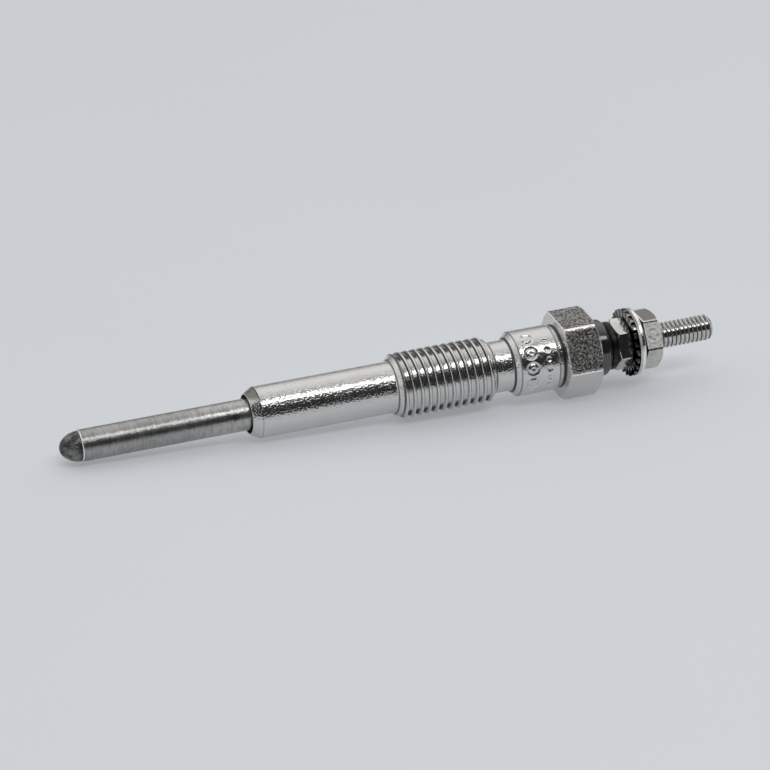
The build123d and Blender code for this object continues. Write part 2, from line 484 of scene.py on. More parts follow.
def dome_points():
    """The dome's outline, from the axis at the tip to the widest place."""
    tip_round = dome_radius - dome_taper
    reach = dome_length - tip_round
    side_round = (reach**2 + dome_radius**2 - tip_round**2) / (2 * dome_taper)
    side_centre = Vector((tip + dome_length, dome_radius - side_round))
    tip_centre = Vector((tip + tip_round, 0.0))
    lean = (tip_centre - side_centre).normalized()
    tip_angle = math.atan2(lean.y, -lean.x)
    points = []
    for step in range(dome_steps + 1):
        angle = tip_angle * step / dome_steps
        points.append(tip_centre + Vector((-math.cos(angle), math.sin(angle))) * tip_round)
    for step in range(1, dome_steps + 1):
        angle = tip_angle + (math.pi / 2 - tip_angle) * step / dome_steps
        points.append(side_centre + Vector((-math.cos(angle), math.sin(angle))) * side_round)
    points[0] = Vector((tip, 0.0))
    return points


dome = dome_points()
print("dome drawn with", len(dome), "points")

# %% [markdown]
# The tube is a closed steel sheath, and where the dome meets its drawn wall there is a narrow
# step, whose colour is painted near-white as a highlight line. The outline starts on the axis
# at the tip, goes back along the outside, and returns along the bore, so the piece is a cup.

# %% Build the heater tube
ring_width = 0.3 * MM
ring_slope = ring_width * 0.4
ring_edge = edge / 3
tube_wall = 0.6 * MM
tip_thickness = 2.2 * MM
tube_columns = 128


def tube_outline(angle):
    """The sheath's wall, which is the same at every angle."""
    bore = tube_radius - tube_wall
    dome_end = tip + dome_length
    rest = softened(
        [
            (dome_end, dome_radius, 0),
            (dome_end + ring_slope, tube_radius, ring_edge),
            (dome_end + ring_width, tube_radius, 0),
            (tube_end, tube_radius, 0),
            (tube_end, bore, 0),
            (tip + tip_thickness, bore, 0),
            (tip + tip_thickness, 0.0, 0),
        ]
    )
    return dome + rest[1:]


sheath = swept("heater_sheath", even_angles(tube_columns), tube_outline, ring=False)
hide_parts("heater_tube")

# %% [markdown]
# One rod carries the current through the whole plug. Only its last stretch shows: the
# terminal stud with its finer thread, which comes out of the flange nut and ends in a
# chamfer. That chamfer is one of the two cones which cut the thread off.

# %% The stud's thread and the rod's sizes
pin_radius = 0.75 * MM
neck_radius = 1.1 * MM
blank_radius = 1.75 * MM
pin_length = 2.2 * MM
neck_past_tube = 0.8 * MM
neck_end = tube_end + neck_past_tube
stud_root = 1.66 * MM
stud_pitch = 0.7 * MM
stud_chamfer = 0.6 * MM
countersink = 0.3 * MM
stud_start = flange_rear - countersink
entry_drop = 0.02 * MM
entry_slope = 2.5
stud_ridge = ridge(stud_radius, stud_root, crest_share=0.22, root_share=0.38, rounding=0.3)


def stud_limit(station):
    """The radius of the cones at both ends of the stud's thread."""
    front = stud_root - entry_drop + (station - stud_start) * entry_slope
    rear = stud_radius - stud_chamfer + (stud_end - station)
    return min(front, rear, stud_radius)


print("stud's thread", round((stud_end - stud_start) / stud_pitch, 1), "pitches long")

# %% [markdown]
# The hidden length of the rod is plain: a pin in the coil, a neck through the seal, and a
# blank up to the thread. Nobody will ever see it, but the part comes apart as on a bench, so
# it is there. A ring of points on the end face keeps the triangles there short.

# %% Build the terminal rod
end_ring = 0.6
rod_columns = 96


def rod_outline(angle):
    """The rod's outline, from the axis at its pin to the axis at the stud's end."""
    face_radius = stud_radius - stud_chamfer
    points = [
        Vector((rod_front, 0.0)),
        Vector((rod_front, pin_radius)),
        Vector((rod_front + pin_length, pin_radius)),
        Vector((rod_front + pin_length, neck_radius)),
        Vector((neck_end, neck_radius)),
        Vector((neck_end, blank_radius)),
        Vector((stud_start - countersink, blank_radius)),
    ]
    points += thread_rows(angle, stud_start, stud_end, stud_pitch, stud_ridge, stud_limit)
    points += [Vector((stud_end, face_radius * end_ring)), Vector((stud_end, 0.0))]
    return points


rod = swept("terminal_stud", even_angles(rod_columns), rod_outline, ring=False)
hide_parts("terminal_rod")

# %% [markdown]
# Behind the hexagon sit the parts that keep the stud apart from the body: a black moulded
# bush and a plain spacer. Both are simple turned rings, and what makes them look real is the
# soft light on their broken edges.

# %% Build the bush and the spacer
close_gap = 0.05 * MM
loose_gap = 0.1 * MM
sleeve_radius = gland_radius - close_gap
bush_bore = stud_radius + close_gap
bush_radius = widest("insulating_bush")
bush_chamfer = 0.7 * MM
spacer_radius = widest("spacer_washer")
spacer_bore = stud_radius + loose_gap
ring_columns = 144


def bush_outline(angle):
    """The bush: a sleeve in the gland and a flange with a broad chamfer behind it."""
    return softened(
        [
            (bush_front, bush_bore, 0),
            (bush_front, sleeve_radius, 0),
            (hexagon_rear, sleeve_radius, 0),
            (hexagon_rear, bush_radius, edge),
            (bush_rear - bush_chamfer, bush_radius, 2 * edge),
            (bush_rear, bush_radius - bush_chamfer, 2 * edge),
            (bush_rear, bush_bore, 0),
        ]
    )


def spacer_outline(angle):
    """The spacer: a flat ring with broken edges."""
    return softened(
        [
            (spacer_front, spacer_bore, 0),
            (spacer_front, spacer_radius, 2 * edge),
            (spacer_rear, spacer_radius, 2 * edge),
            (spacer_rear, spacer_bore, 0),
        ]
    )


bush = swept("bush", even_angles(ring_columns), bush_outline)
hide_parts("insulating_bush")
spacer = swept("spacer", even_angles(ring_columns), spacer_outline)
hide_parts("spacer_washer")

# %% [markdown]
# The two nuts are hexagons whose corners are coned off at 30 degrees. Where the cone meets a
# flat it leaves a curved line, and that line is the first thing one sees on a real nut. The
# sweep draws it exactly, because at every angle the outline bends where the cone and the
# flat cross. The thin nut is coned on both sides.

# %% Build the thin nut
nut_inset = 0.14 * MM
nut_edge = 0.07 * MM
nut_rounding = 0.15 * MM
nut_bore = blank_radius + close_gap
nut_edge_share = 0.025
lock_flats = 7.0 * MM
lock_turn = math.radians(10)
lock_per_side = 36


def lock_nut_outline(angle):
    """The thin nut's wall: coned on both sides, with a bore for the stud."""
    side = hexagon_radius(angle, lock_flats, 2 * nut_rounding, lock_turn)
    face = lock_flats / 2 - nut_inset
    setback = (side - face) * math.tan(cone_angle)
    return softened(
        [
            (lock_front, nut_bore, nut_edge),
            (lock_front, face, nut_edge),
            (lock_front + setback, side, 2 * nut_edge),
            (lock_rear - setback, side, nut_edge),
            (lock_rear, face, nut_edge),
            (lock_rear, nut_bore, nut_edge),
        ]
    )


lock_angles = hexagon_angles(lock_per_side, nut_edge_share, lock_turn)
lock_nut = swept("thin_nut", lock_angles, lock_nut_outline)
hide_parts("lock_nut")

# %% [markdown]
# The other nut has a flange, which spreads its load on the washer: first a rim, then a slope
# up to the hexagon, and a shallow groove at the slope's end. Each flat bears two worn, raised
# rings, as forged nuts do. They are made like the collar's stamps, but stand out.

# %% Sizes of the flange nut
flange_nut_flats = 8.0 * MM
flange_turn = math.radians(-4)
flange_radius = 5.2 * MM
flange_rim = 0.92 * MM
flange_slope = math.radians(20)
groove_depth = 0.1 * MM
groove_width = 0.24 * MM
flange_corner = flange_nut_flats / math.sqrt(3)
slope_rise = (flange_radius - flange_corner) * math.tan(flange_slope)
groove_start = flange_front + flange_rim + slope_rise
groove_end = groove_start + groove_width
raised_rings = (1.1 * MM, 0.4 * MM)
raised_stroke = 0.3 * MM
raised_height = 0.05 * MM
print("flange nut's hexagon starts at", round(groove_start / MM, 2), "mm")

# %% [markdown]
# The hexagon's sides get many rows for the raised rings, and the rest of the outline is a few
# softened corners. The bore stays clear of the rod, and opens in a countersink where the stud
# comes out.

# %% Build the flange nut
flat_rows = 26
flange_per_side = 44


def raised_mark(along, around):
    """The height of the raised rings on a flat, as a share from 0 to 1."""
    away = math.hypot(along, around)
    nearest = min(abs(away - ring) for ring in raised_rings)
    return soft_line(nearest, raised_stroke)


def flat_points(angle, side, first, last):
    """The hexagon's side between two stations, with the raised rings on it."""
    middle = (first + last) / 2
    around = from_edge(angle + SIXTH / 2, flange_turn) * side
    points = []
    for row in range(1, flat_rows):
        station = first + (last - first) * row / flat_rows
        raised = raised_mark(station - middle, around)
        points.append(Vector((station, side + raised_height * raised)))
    return points


def flange_nut_outline(angle):
    """The flange nut's wall: rim, sloped flange, hexagon, rear cone and countersink."""
    side = hexagon_radius(angle, flange_nut_flats, nut_rounding, flange_turn)
    rim_rear = flange_front + flange_rim
    face = flange_nut_flats / 2 - nut_inset
    side_end = flange_rear - (side - face) * math.tan(cone_angle)
    points = softened(
        [
            (flange_front, nut_bore, 0),
            (flange_front, flange_radius, nut_edge),
            (rim_rear, flange_radius, 2 * nut_edge),
            (groove_start, flange_corner, nut_edge),
            (groove_start, side - groove_depth, nut_edge / 2),
            (groove_end, side - groove_depth, nut_edge / 2),
            (groove_end, side, nut_edge),
            (side_end, side, 0),
        ]
    )[:-1]
    points += flat_points(angle, side, points[-1].x, side_end - nut_edge)
    points += softened(
        [
            (side_end - nut_edge, side, 0),
            (side_end, side, nut_edge),
            (flange_rear, face, nut_edge),
            (flange_rear, stud_radius + nut_edge, nut_edge),
            (stud_start - countersink, nut_bore, 0),
            (flange_front, nut_bore, 0),
        ]
    )[:-1]
    return points


flange_angles = hexagon_angles(flange_per_side, nut_edge_share, flange_turn)
flange_nut = swept("nut_with_flange", flange_angles, flange_nut_outline)
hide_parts("flange_nut")

# %% [markdown]
# The lock washer is stamped from spring steel, and its outer teeth are twisted so that they
# bite when the nut comes down. It could be one tooth and an Array modifier, but copies that
# meet leave seams. So this is one more sweep, whose columns stand where a tooth begins, runs
# and ends.

# %% The washer's teeth round the axis
teeth = 24
tooth_half_width = 0.34 * MM
tooth_root_radius = 3.9 * MM
across_steps = 4


def washer_columns():
    """(angle, place across a tooth or None between teeth) all round the washer."""
    columns = []
    for tooth in range(teeth):
        centre = 2 * math.pi * (tooth + 0.5) / teeth
        half = tooth_half_width / tooth_root_radius
        gap = math.pi / teeth - half
        columns.append((centre - half - gap, None))
        columns.append((centre - half, None))
        for step in range(across_steps + 1):
            across = -1 + 2 * step / across_steps
            columns.append((centre + half * across, across))
        columns.append((centre + half, None))
    first_angle, first_place = columns[0]
    columns.append((first_angle + 2 * math.pi, first_place))
    return columns


print("washer", teeth, "teeth in", len(washer_columns()), "columns")

# %% [markdown]
# The outline reaches out to the tooth tips inside a tooth, and only to the ring between two
# teeth. Inside a tooth it also shifts along the axis with its place across the tooth, and
# that is the twist. The tips lean away from the flange nut as far as the CAD model's tips do,
# so that their twisted corners clear its face.

# %% Build the toothed washer
tooth_tip_radius = 5.2 * MM
cad_tip_width = 0.78 * MM
tooth_twist = math.radians(22)
tooth_spans = 4
tip_thinning = 0.94
washer_thickness = flange_front - lock_rear
washer_bore = stud_radius + loose_gap
tip_across = cad_tip_width * math.sin(tooth_twist)
tip_along = washer_thickness * math.cos(tooth_twist)
tooth_lean = (tip_across + tip_along) / 2 - washer_thickness / 2


def washer_outline(place):
    """The washer's outline between two teeth, or at a place across a tooth."""
    half = washer_thickness / 2
    middle = flange_front - half
    front = [Vector((lock_rear, washer_bore)), Vector((lock_rear, tooth_root_radius))]
    back = [Vector((flange_front, tooth_root_radius)), Vector((flange_front, washer_bore))]
    reach, across, twist, lean = 0.0, 0.0, 0.0, 0.0
    if place is not None:
        reach = tooth_tip_radius - tooth_root_radius
        across = place * tooth_half_width
        twist = math.tan(tooth_twist)
        lean = tooth_lean
    outward, inward = [], []
    for step in range(1, tooth_spans + 1):
        share = step / tooth_spans
        slide = twist * share
        station = middle - lean * share + across * slide
        radius = tooth_root_radius + reach * share
        thin = half * (tip_thinning if step == tooth_spans else 1.0)
        outward.append(Vector((station - thin, radius)))
        inward.append(Vector((station + thin, radius)))
    return front + outward + inward[::-1] + back


washer = joined(
    "star_washer", [(angle, washer_outline(place)) for angle, place in washer_columns()]
)
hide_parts("toothed_washer")

# %% [markdown]
# Materials are node trees. Wiring them by hand in code is long and hard to read, so a small
# class wraps one output socket and gives it Python's operators: `1 - mask * 0.5` then builds
# its own Math nodes. One method makes every other kind of node.

# %% Shader maths as Python expressions
class Link:
    """An output socket that takes part in expressions, or a bare tree to start from."""

    def __init__(self, tree, socket=None):
        self.tree = tree
        self.socket = socket

    def node(self, kind, settings, values, output=0):
        """Adds a node. Its settings are set first, then its sockets' values or links."""
        made = self.tree.nodes.new(kind)
        for name, value in settings.items():
            if name == "stops":
                fill_ramp(made.color_ramp, value)
            else:
                setattr(made, name, value)
        for name, value in values.items():
            if isinstance(value, Link):
                self.tree.links.new(value.socket, made.inputs[name])
            else:
                made.inputs[name].default_value = value
        return Link(self.tree, made.outputs[output] if made.outputs else None)

    def math(self, operation, first, second=0.0):
        """Adds a Math node for one or two values or links."""
        return self.node("ShaderNodeMath", {"operation": operation}, {0: first, 1: second})

    def __add__(self, other):
        return self.math("ADD", self, other)

    def __radd__(self, other):
        return self.math("ADD", other, self)

    def __sub__(self, other):
        return self.math("SUBTRACT", self, other)

    def __rsub__(self, other):
        return self.math("SUBTRACT", other, self)

    def __mul__(self, other):
        return self.math("MULTIPLY", self, other)

    def __rmul__(self, other):
        return self.math("MULTIPLY", other, self)

    def __gt__(self, other):
        return self.math("GREATER_THAN", self, other)

    def __lt__(self, other):
        return self.math("LESS_THAN", self, other)


def fill_ramp(ramp, stops):
    """Sets a colour ramp's stops from (position, grey) pairs."""
    while len(ramp.elements) < len(stops):
        ramp.elements.new(1.0)
    for element, (position, grey) in zip(ramp.elements, stops):
        element.position = position
        element.color = (grey, grey, grey, 1.0)


# %% [markdown]
# Every finish here is built the same way: a point on the surface, a few layers of noise at
# the sizes that the real surface shows, and a Principled shader. The point comes from Texture
# Coordinate's Object output, which is the place in the plug's own frame in metres, so the
# same grain sits on the same spot from any side.

# %% Start and close a material
def start_material(name):
    """A new material with an empty node tree, and the position on its surface."""
    material = bpy.data.materials.new(name)
    material.use_nodes = True
    material.node_tree.nodes.clear()
    start = Link(material.node_tree)
    return material, start.node("ShaderNodeTexCoord", {}, {}, "Object")


def close_material(material, values):
    """Joins a Principled shader with these values to the material's output."""
    start = Link(material.node_tree)
    shader = start.node("ShaderNodeBsdfPrincipled", {}, values, "BSDF")
    start.node("ShaderNodeOutputMaterial", {}, {"Surface": shader})
    return material


def dress(piece, material):
    """Gives a piece or a carried-over CAD node its finish."""
    piece.data.materials.clear()
    piece.data.materials.append(material)
    print("finish", material.name, "on", piece.name)


# %% [markdown]
# Noise by itself looks like fog. Where a part of its range is stretched over the whole, it
# turns into patches with an edge, and such a mask can choose between two colours. The same
# noise in a Bump node gives the surface its dents, so that dents and gloss belong together.

# %% Noise, masks, mixed colours and bumps
def noise(position, grain, detail=2.0, roughness=0.5, stretch=None):
    """Noise from 0 to 1 whose grain is that many metres across, stretched by a vector."""
    if stretch:
        scaled = {0: position, 1: stretch}
        position = position.node("ShaderNodeVectorMath", {"operation": "MULTIPLY"}, scaled)
    values = {"Vector": position, "Scale": 1 / grain, "Detail": detail, "Roughness": roughness}
    return position.node("ShaderNodeTexNoise", {}, values, "Fac")


def sharpened(value, low, high):
    """Stretches the part of a value between low and high over 0 to 1, with soft ends."""
    values = {"Value": value, "From Min": low, "From Max": high}
    return value.node("ShaderNodeMapRange", {"interpolation_type": "SMOOTHSTEP"}, values)


def mixed(factor, first, second):
    """A colour between two others."""
    values = {"Factor": factor, 6: first, 7: second}
    return factor.node("ShaderNodeMix", {"data_type": "RGBA"}, values, 2)


def bumped(height, depth):
    """A bumpy normal from a height, where a height of 1 stands for that depth in metres."""
    values = {"Strength": 1.0, "Distance": depth, "Height": height}
    return height.node("ShaderNodeBump", {}, values)


# %% [markdown]
# Neither dust nor painted shade is spread by chance. Dust lies on what faces up, and painted
# shade darkens corners, recesses and thread valleys, so a finish also asks where a point is on
# the plug and which way the surface faces there. For a turned piece the station and the
# distance from the axis say nearly everything.

# %% Places and directions on the plug
def coordinate(vector, axis):
    """One coordinate of a position or a direction. X is the station along the plug."""
    return vector.node("ShaderNodeSeparateXYZ", {}, {"Vector": vector}, axis)


def off_axis(position):
    """The distance from the plug's axis."""
    y = coordinate(position, "Y")
    z = coordinate(position, "Z")
    square = y * y + z * z
    return square.math("SQRT", square)


def facing_along(position, axis):
    """How much a surface faces along one of the object's axes, from -1 to 1."""
    return coordinate(position.node("ShaderNodeTexCoord", {}, {}, "Normal"), axis)


def upward(position):
    """How much a surface faces up, from -1 to 1."""
    return facing_along(position, "Z")


def dust_film(position):
    """From 0 to 1: how much of a dull film lies on a surface that faces up."""
    return sharpened(upward(position), 0.05, 0.5)


# %% [markdown]
# On the housing, painted shade darkens the colour on the thread's flanks, in the valleys that
# face straight up or down, in the corners and the undercut, and on the upper part of the
# sealing cone. In the thread the radius tells a crest from a flank and a flank from a valley.
# A corner is a line round the plug, so it is listed as two stations and its share of painted
# shade.

# %% Where painted shade darkens the housing
corner_fade = 0.12 * MM
# Each corner line is a band of painted shade at a step in the outline.
shaded_corners = [
    (-0.18 * MM, 0.1 * MM, 0.3),
    (thread_start + 0.05 * MM, thread_start + 0.35 * MM, 0.8),
    (thread_start + 0.76 * MM, thread_start + 1.12 * MM, 0.9),
    (thread_end - 0.45 * MM, thread_end - 0.1 * MM, 0.8),
    (relief_end, relief_end + 0.4 * MM, 0.95),
    (collar_start - 0.26 * MM, collar_start + 0.02 * MM, 0.6),
]


def housing_shade_masks(station, radius, facing):
    """Three masks: the thread, the painted shade in its valleys, and all the painted shade."""
    crests_start = thread_start + lead_in
    crests_end = thread_end - run_out
    in_thread = (station > crests_start) * (station < crests_end)
    deep = sharpened(radius, thread_root + 0.22 * MM, thread_root + 0.08 * MM)
    above_root = sharpened(radius, thread_root + 0.03 * MM, thread_root + 0.07 * MM)
    below_crest = sharpened(radius, thread_root + 0.34 * MM, thread_root + 0.26 * MM)
    # Painted shade: thread valleys that face straight up or down are coloured near-black.
    shaded_facing = sharpened(facing, -0.4, -0.6) + sharpened(facing, 0.972, 0.996) * 0.9
    valley_shade = in_thread * deep * shaded_facing
    on_slope = sharpened(facing, 0.1, 0.3) * sharpened(facing, 0.88, 0.74)
    on_flank = above_root * below_crest * (on_slope * 0.75 + 0.15)
    near_hexagon = sharpened(station, hexagon_front - 0.5 * MM, hexagon_front - 0.2 * MM)
    in_undercut = near_hexagon * (station < hexagon_front)
    on_cone = (station < 0.0) * sharpened(facing, 0.73, 0.83)
    # All the painted shade: flanks, thread roots, the undercut, the sealing cone's top and the
    # corners.
    painted_shade = valley_shade + in_thread * (on_flank + deep * 0.1) + in_undercut + on_cone * 0.75
    for first, last, share in shaded_corners:
        opens = sharpened(station, first, first + corner_fade)
        closes = sharpened(station, last, last - corner_fade)
        painted_shade = painted_shade + opens * closes * share
    return in_thread, valley_shade, painted_shade


# The corner lines are painted shade.
print("dirt in", len(shaded_corners), "corners of the housing")

# %% [markdown]
# The hexagon's upper sides carry a coarse, dull film. Spanners and hands have rubbed it off
# its six edges, which are found by their radius, and those bare edges are also painted
# near-white as a highlight. A painted highlight runs as a bright line at both of its ends,
# where the sides begin.

# %% The hexagon's sides, edges and ends
edge_angle = math.radians(1.6)
edge_radius = hexagon_radius(edge_angle, hexagon_flats, hexagon_rounding)


def hexagon_masks(station, radius):
    """Three masks: the hexagon, its rubbed, highlit edges, and the painted highlights at its
    ends.
    """
    on_hexagon = (station > hexagon_front + 0.02 * MM) * (radius > front_cone_radius * 0.9)
    on_edge = sharpened(radius, edge_radius - 0.07 * MM, edge_radius - 0.02 * MM)
    # The lines at both ends of the hexagon are painted highlights.
    front_highlight = sharpened(station, hexagon_front + 0.34 * MM, hexagon_front + 0.22 * MM)
    rear_highlight = sharpened(station, hexagon_rear - 0.34 * MM, hexagon_rear - 0.22 * MM)
    return on_hexagon, on_edge, front_highlight + rear_highlight


print("hexagon's edges lie about", round(edge_radius / MM, 2), "mm from the axis")

# %% [markdown]
# The housing has a satin nickel plating that was tumbled with many others, so it is covered
# with fine dents, which break the edge of each highlight into specks. One noise makes them:
# its whole range is a faint ripple, and its upper part, stretched, gives dents that lie
# apart. They are shallower in the thread and on the collar. The film on the hexagon has a
# grain of its own.

# %% The housing's plating
plating_depth = 0.055 * MM
dent_grain = 0.26 * MM
film_grain = 0.28 * MM
tone_grain = 3.0 * MM
satin_tones = [(0.65, 0.64, 0.625, 1), (0.71, 0.705, 0.69, 1)]
film_tones = [(0.06, 0.056, 0.052, 1), (0.46, 0.445, 0.425, 1)]
# Rubbed edges: bare metal, painted near-white as a highlight too.
rubbed_highlight_nickel = (0.95, 0.94, 0.92, 1)
# The colour of the painted highlight lines at the hexagon's ends.
highlight_nickel = (0.85, 0.84, 0.815, 1)
# The near-black colour of the painted shade on the housing.
painted_shade_tone = (0.03, 0.029, 0.027, 1)


def housing_finish():
    """Satin plating with dents, painted shade in its corners and thread, and a film on the
    hexagon.
    """
    material, position = start_material("tumbled_nickel")
    station = coordinate(position, "X")
    radius = off_axis(position)
    in_thread, valley_shade, painted_shade = housing_shade_masks(station, radius, upward(position))
    on_hexagon, on_edge, end_highlights = hexagon_masks(station, radius)
    on_collar = (station > collar_start) * (station < undercut_start)
    film = on_hexagon * dust_film(position) * (1 - on_edge)
    grains = noise(position, dent_grain, detail=0.0)
    dents = sharpened(grains, 0.5, 0.68)
    coarse = noise(position, film_grain, roughness=0.6)
    calm = 1 - in_thread * 0.55 - on_collar * 0.35
    relief = (grains * 0.42 + dents * 0.18) * calm + coarse * film * 2.2
    satin = mixed(noise(position, tone_grain), *satin_tones)
    # The hexagon's edges are worn bare and painted bright as a highlight.
    rubbed_and_highlit = mixed(on_hexagon * on_edge, satin, rubbed_highlight_nickel)
    dull = mixed(sharpened(coarse, 0.4, 0.62), *film_tones)
    plated = mixed(film, rubbed_and_highlit, mixed(end_highlights, dull, highlight_nickel))
    gloss = 0.18 - in_thread * 0.04 + grains * 0.08
    values = {
        # The painted shade darkens the colour towards near-black.
        "Base Color": mixed(painted_shade * 0.95, plated, painted_shade_tone),
        "Roughness": gloss + film * 0.08 + painted_shade * 0.12 + valley_shade * 0.25,
        "Metallic": (1 - film * 0.3) * (1 - painted_shade * 0.3) * (1 - valley_shade * 0.6),
        "Normal": bumped(relief, plating_depth),
    }
    return close_material(material, values)


dress(housing, housing_finish())

# %% [markdown]
# The heater tube is drawn from a heat-resistant alloy and has been ground round, which leaves
# hair-thin lines across its length. A noise that is squeezed along the axis gives those
# lines. The tube is cleaner and brighter near the housing, where it never gets hot. The
# welded dome is rougher and darker, with heat stains.

# %% The heater tube's alloy
alloy_depth = 0.045 * MM
line_stretch = (1.0, 0.12, 0.12)
heated_end = -14 * MM
cool_start = -3 * MM
dull_tones = [(0.31, 0.307, 0.3, 1), (0.37, 0.367, 0.36, 1)]
bright_tones = [(0.43, 0.425, 0.412, 1), (0.53, 0.525, 0.51, 1)]
weld_tones = [(0.07, 0.072, 0.072, 1), (0.26, 0.255, 0.245, 1)]
# A painted highlight: the narrow ring behind the dome is coloured near-white.
ring_highlight = (0.92, 0.91, 0.89, 1)


def sheath_finish():
    """Ground alloy with lines round it, and a stained dome behind a painted highlight ring."""
    material, position = start_material("drawn_alloy")
    station = coordinate(position, "X")
    dome_end = tip + dome_length
    on_dome = station < dome_end
    on_ring = (station > dome_end) * (station < dome_end + ring_width * 0.5)
    cool_end = sharpened(station, heated_end, cool_start)
    lines = noise(position, 0.24 * MM, detail=1.0, stretch=line_stretch)
    stains = noise(position, 1.4 * MM, detail=4.0, roughness=0.6)
    pits = noise(position, 0.35 * MM, detail=3.0)
    relief = lines * 1.1 + pits * on_dome * 2.5 + pits * 0.8
    blotches = sharpened(stains * 0.5 + lines * 0.5, 0.36, 0.62)
    drawn = mixed(blotches, mixed(cool_end, *dull_tones), mixed(cool_end, *bright_tones))
    ground = mixed(on_ring, drawn, ring_highlight)
    welded = mixed(sharpened(stains, 0.38, 0.62), *weld_tones)
    values = {
        "Base Color": mixed(on_dome, ground, welded),
        "Roughness": 0.25 + stains * 0.16 - cool_end * 0.05,
        "Metallic": 1.0,
        "Normal": bumped(relief, alloy_depth),
    }
    return close_material(material, values)


dress(sheath, sheath_finish())

# %% [markdown]
# The other metals differ in tone, gloss and grain, and share the way they are made: one noise
# for two close tones, and a finer one for small dents and an uneven gloss. So one function
# gives the values that their shaders have in common, and each special finish changes what it
# needs. The thin nut is polished, so it mirrors the studio in hard patches.

# %% Plain metals
def metal_values(position, bright, dull, rough, grain, depth):
    """Shader values for a metal with two tones, and dents of that grain and depth."""
    tone = noise(position, grain * 4, detail=4.0, roughness=0.6)
    dent = noise(position, grain, detail=3.0, roughness=0.6)
    return {
        "Base Color": mixed(sharpened(tone, 0.35, 0.68), bright, dull),
        "Roughness": rough + dent * 0.14,
        "Metallic": 1.0,
        "Normal": bumped(dent, depth),
    }


def plain_metal(name, bright, dull, rough, grain, depth):
    """A material with those values and nothing else."""
    material, position = start_material(name)
    return close_material(material, metal_values(position, bright, dull, rough, grain, depth))


polished_nut = plain_metal(
    "polished_nut",
    bright=(0.64, 0.63, 0.62, 1),
    dull=(0.54, 0.53, 0.52, 1),
    rough=0.05,
    grain=0.5 * MM,
    depth=0.03 * MM,
)
blackened_steel = plain_metal(
    "blackened_steel",
    bright=(0.022, 0.022, 0.022, 1),
    dull=(0.05, 0.049, 0.047, 1),
    rough=0.25,
    grain=0.3 * MM,
    depth=0.04 * MM,
)
dress(lock_nut, polished_nut)
dress(spacer, blackened_steel)

# %% [markdown]
# The stud is bare steel, and its rolled thread has clean bright crests. Painted shade darkens
# the flanks, more on those that face down, and the valleys that face up. It is found by radius,
# as on the housing, because a radius tells a crest from a flank and a flank from a valley.

# %% The stud's steel
# The near-black colour of the painted shade in the stud's thread.
stud_shade_tone = (0.03, 0.028, 0.026, 1)


def stud_finish():
    """Bright steel with painted shade in its thread."""
    material, position = start_material("stud_steel")
    values = metal_values(
        position,
        bright=(0.7, 0.69, 0.67, 1),
        dull=(0.52, 0.51, 0.49, 1),
        rough=0.07,
        grain=0.3 * MM,
        depth=0.015 * MM,
    )
    radius = off_axis(position)
    facing = upward(position)
    above_root = sharpened(radius, stud_root + 0.02 * MM, stud_root + 0.06 * MM)
    below_crest = sharpened(radius, stud_root + 0.26 * MM, stud_root + 0.2 * MM)
    in_valley = sharpened(radius, stud_root + 0.2 * MM, stud_root + 0.05 * MM)
    # Painted shade on the flanks, more on those that face down, and in the valleys that face up.
    on_flank = above_root * below_crest * (sharpened(facing, 0.3, 0.1) * 0.55 + 0.2)
    painted_shade = on_flank + sharpened(facing, 0.84, 0.94) * in_valley
    values["Base Color"] = mixed(painted_shade * 0.9, values["Base Color"], stud_shade_tone)
    values["Roughness"] = values["Roughness"] + painted_shade * 0.3
    values["Metallic"] = 1 - painted_shade * 0.8
    return close_material(material, values)


dress(rod, stud_finish())

# %% [markdown]
# The flange nut has a dull zinc coat that scatters the light. A film lies on what faces up,
# darker where it lies flat, and the coat is scuffed. A painted highlight runs as a bright line
# where each flat begins. The front half of the flange's rim has the film too, and its rear half
# is polished by handling and painted bright as a highlight. The groove behind it and the side
# that faces the washer are painted dark as deep shade.

# %% The flange nut's zinc
shade_end = groove_end + 0.2 * MM
# The band just past the painted shade is a painted highlight line.
highlight_end = shade_end + 0.26 * MM
scuff_tones = [(0.95, 0.93, 0.895, 1), (0.3, 0.29, 0.275, 1)]
settled_film = (0.24, 0.232, 0.22, 1)
# The colour of the painted highlight line where each flat begins.
highlight_zinc = (0.98, 0.97, 0.94, 1)
# The rim's rear half: polished, and painted bright as a highlight.
polished_highlight_zinc = (0.94, 0.93, 0.9, 1)
deep_shade = (0.03, 0.029, 0.028, 1)


